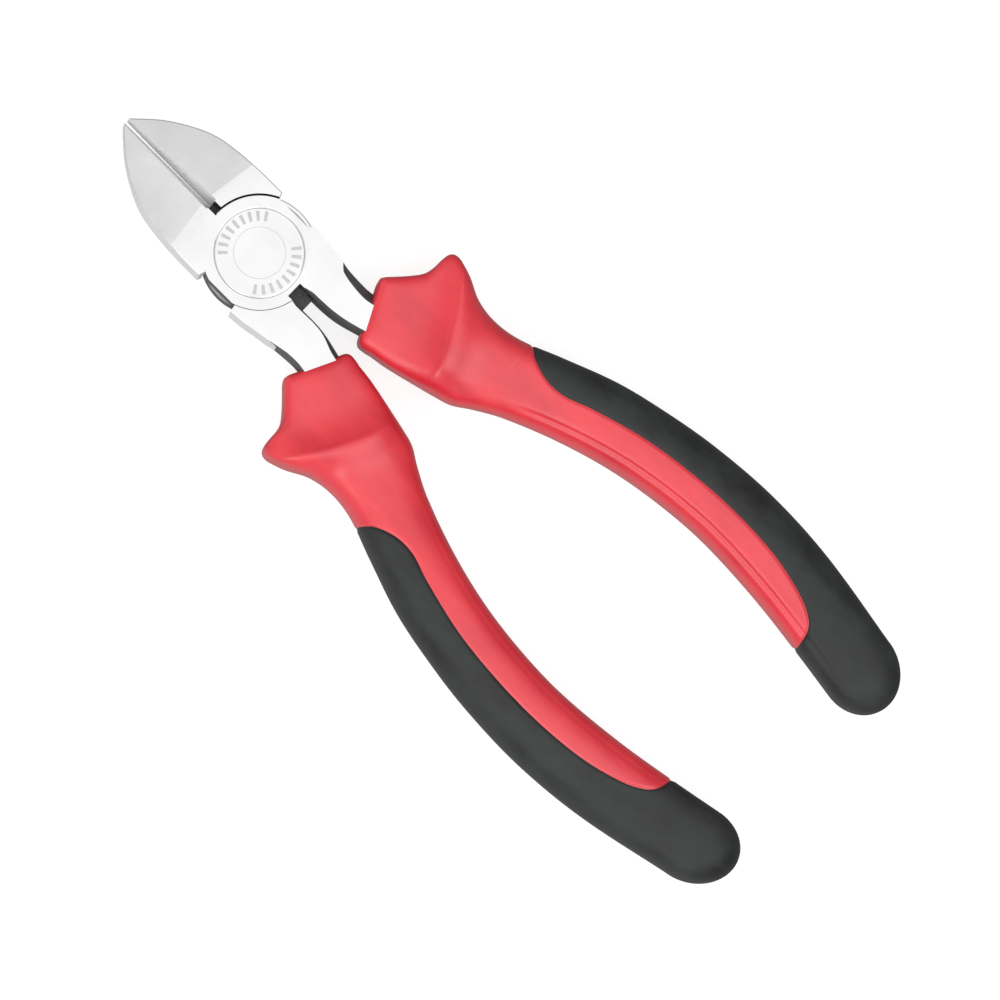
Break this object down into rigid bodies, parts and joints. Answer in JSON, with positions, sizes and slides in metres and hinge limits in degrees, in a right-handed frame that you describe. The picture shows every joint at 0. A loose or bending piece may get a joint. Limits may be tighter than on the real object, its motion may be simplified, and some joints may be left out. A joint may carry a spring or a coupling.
{
  "type": "diagonal cutting pliers",
  "caption": "Hand-held side cutters with tapered bevelled jaws, a riveted lap joint and curved two-colour moulded grips with hand guards.",
  "frame": {"origin": "on the pivot axis, at the back face of the riveted joint", "axes": "+X along the closed tool from the pivot to the jaw tips, +Y to the tool's left, +Z out of the front face along the pivot"},
  "size_m": [0.1653, 0.0642, 0.0166],
  "materials": {
    "forged_steel": "polished joint and arms, ground satin jaws",
    "rivet_steel": "ground flush, fine turning marks",
    "red_plastic": "satin moulded, hard",
    "black_soft_plastic": "matt moulded, soft"
  },
  "bodies": {
    "front_half": {"front_lever": "forged_steel", "pivot_rivet": "rivet_steel", "right_grip_sleeve": "red_plastic", "right_grip_overlay": "black_soft_plastic"},
    "rear_half": {"rear_lever": "forged_steel", "left_grip_sleeve": "red_plastic", "left_grip_overlay": "black_soft_plastic"}
  },
  "joints": [
    {"name": "jaw_pivot", "type": "hinge", "parent": "front_half", "child": "rear_half", "pos_m": [0, 0, 0.0052], "axis": [0, 0, -1], "range_deg": [0, 40]}
  ]
}
